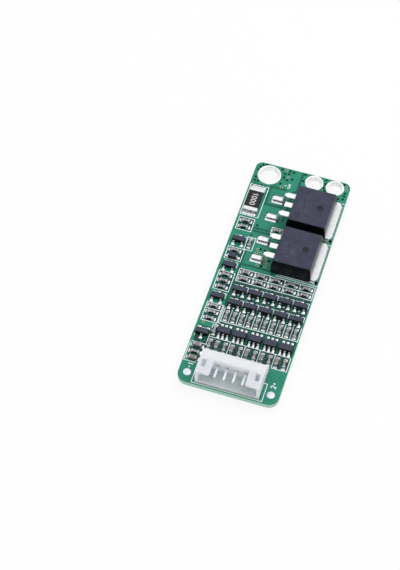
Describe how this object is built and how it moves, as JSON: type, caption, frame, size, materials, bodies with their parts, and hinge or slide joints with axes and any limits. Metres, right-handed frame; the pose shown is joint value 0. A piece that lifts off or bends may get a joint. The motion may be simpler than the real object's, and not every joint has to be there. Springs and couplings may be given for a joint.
{
  "type": "battery management board",
  "caption": "Circuit board that guards a battery pack: power transistors, current shunt, cell circuits and a side-entry pin header for the cell leads.",
  "frame": {"origin": "centre of the board's underside", "axes": "+X along the header's row of pins, +Y from the header towards the heavy terminals, +Z out of the side that carries the parts"},
  "size_m": [0.022, 0.06, 0.007],
  "materials": {
    "laminate": "green solder mask on glass-fibre laminate",
    "tin": "bright tinned metal",
    "solder": "bright solder",
    "header_plastic": "white moulded nylon",
    "black_epoxy": "moulded black epoxy",
    "dark_epoxy": "moulded bluish black epoxy",
    "resistor_glaze": "black glaze on ceramic",
    "capacitor_ceramic": "unglazed tan ceramic"
  },
  "bodies": {
    "root": {"bleed_resistor_bodies": "resistor_glaze", "bleed_resistor_terminals": "tin", "capacitor_bodies": "capacitor_ceramic", "capacitor_terminals": "tin", "cell_monitor_1": "black_epoxy", "cell_monitor_2": "black_epoxy", "cell_monitor_3": "black_epoxy", "cell_monitor_4": "black_epoxy", "cell_monitor_5": "black_epoxy", "cell_monitor_leads": "tin", "circuit_board": "laminate", "clamp_diode": "black_epoxy", "clamp_diode_leads": "tin", "control_resistor_bodies": "resistor_glaze", "control_resistor_terminals": "tin", "control_transistor_1": "black_epoxy", "control_transistor_2": "black_epoxy", "control_transistor_3": "black_epoxy", "control_transistor_4": "black_epoxy", "control_transistor_leads": "tin", "divider_resistor_bodies": "resistor_glaze", "divider_resistor_terminals": "tin", "filter_resistor_bodies": "resistor_glaze", "filter_resistor_terminals": "tin", "header_housing": "header_plastic", "header_pin_1": "tin", "header_pin_2": "tin", "header_pin_3": "tin", "header_pin_4": "tin", "header_pin_5": "tin", "header_pin_6": "tin", "header_solder_joints": "solder", "main_terminal": "tin", "mosfet_body_high": "dark_epoxy", "mosfet_body_low": "dark_epoxy", "mosfet_leadframe_high": "tin", "mosfet_leadframe_low": "tin", "pack_terminal_left": "tin", "pack_terminal_right": "tin", "sense_pads": "solder", "shunt_body": "resistor_glaze", "shunt_terminals": "tin", "solder_lands": "solder", "switch_transistor_high_1": "black_epoxy", "switch_transistor_high_2": "black_epoxy", "switch_transistor_high_3": "black_epoxy", "switch_transistor_high_4": "black_epoxy", "switch_transistor_high_5": "black_epoxy", "switch_transistor_high_leads": "tin", "switch_transistor_low_1": "black_epoxy", "switch_transistor_low_2": "black_epoxy", "switch_transistor_low_3": "black_epoxy", "switch_transistor_low_4": "black_epoxy", "switch_transistor_low_5": "black_epoxy", "switch_transistor_low_leads": "tin"}
  },
  "joints": []
}
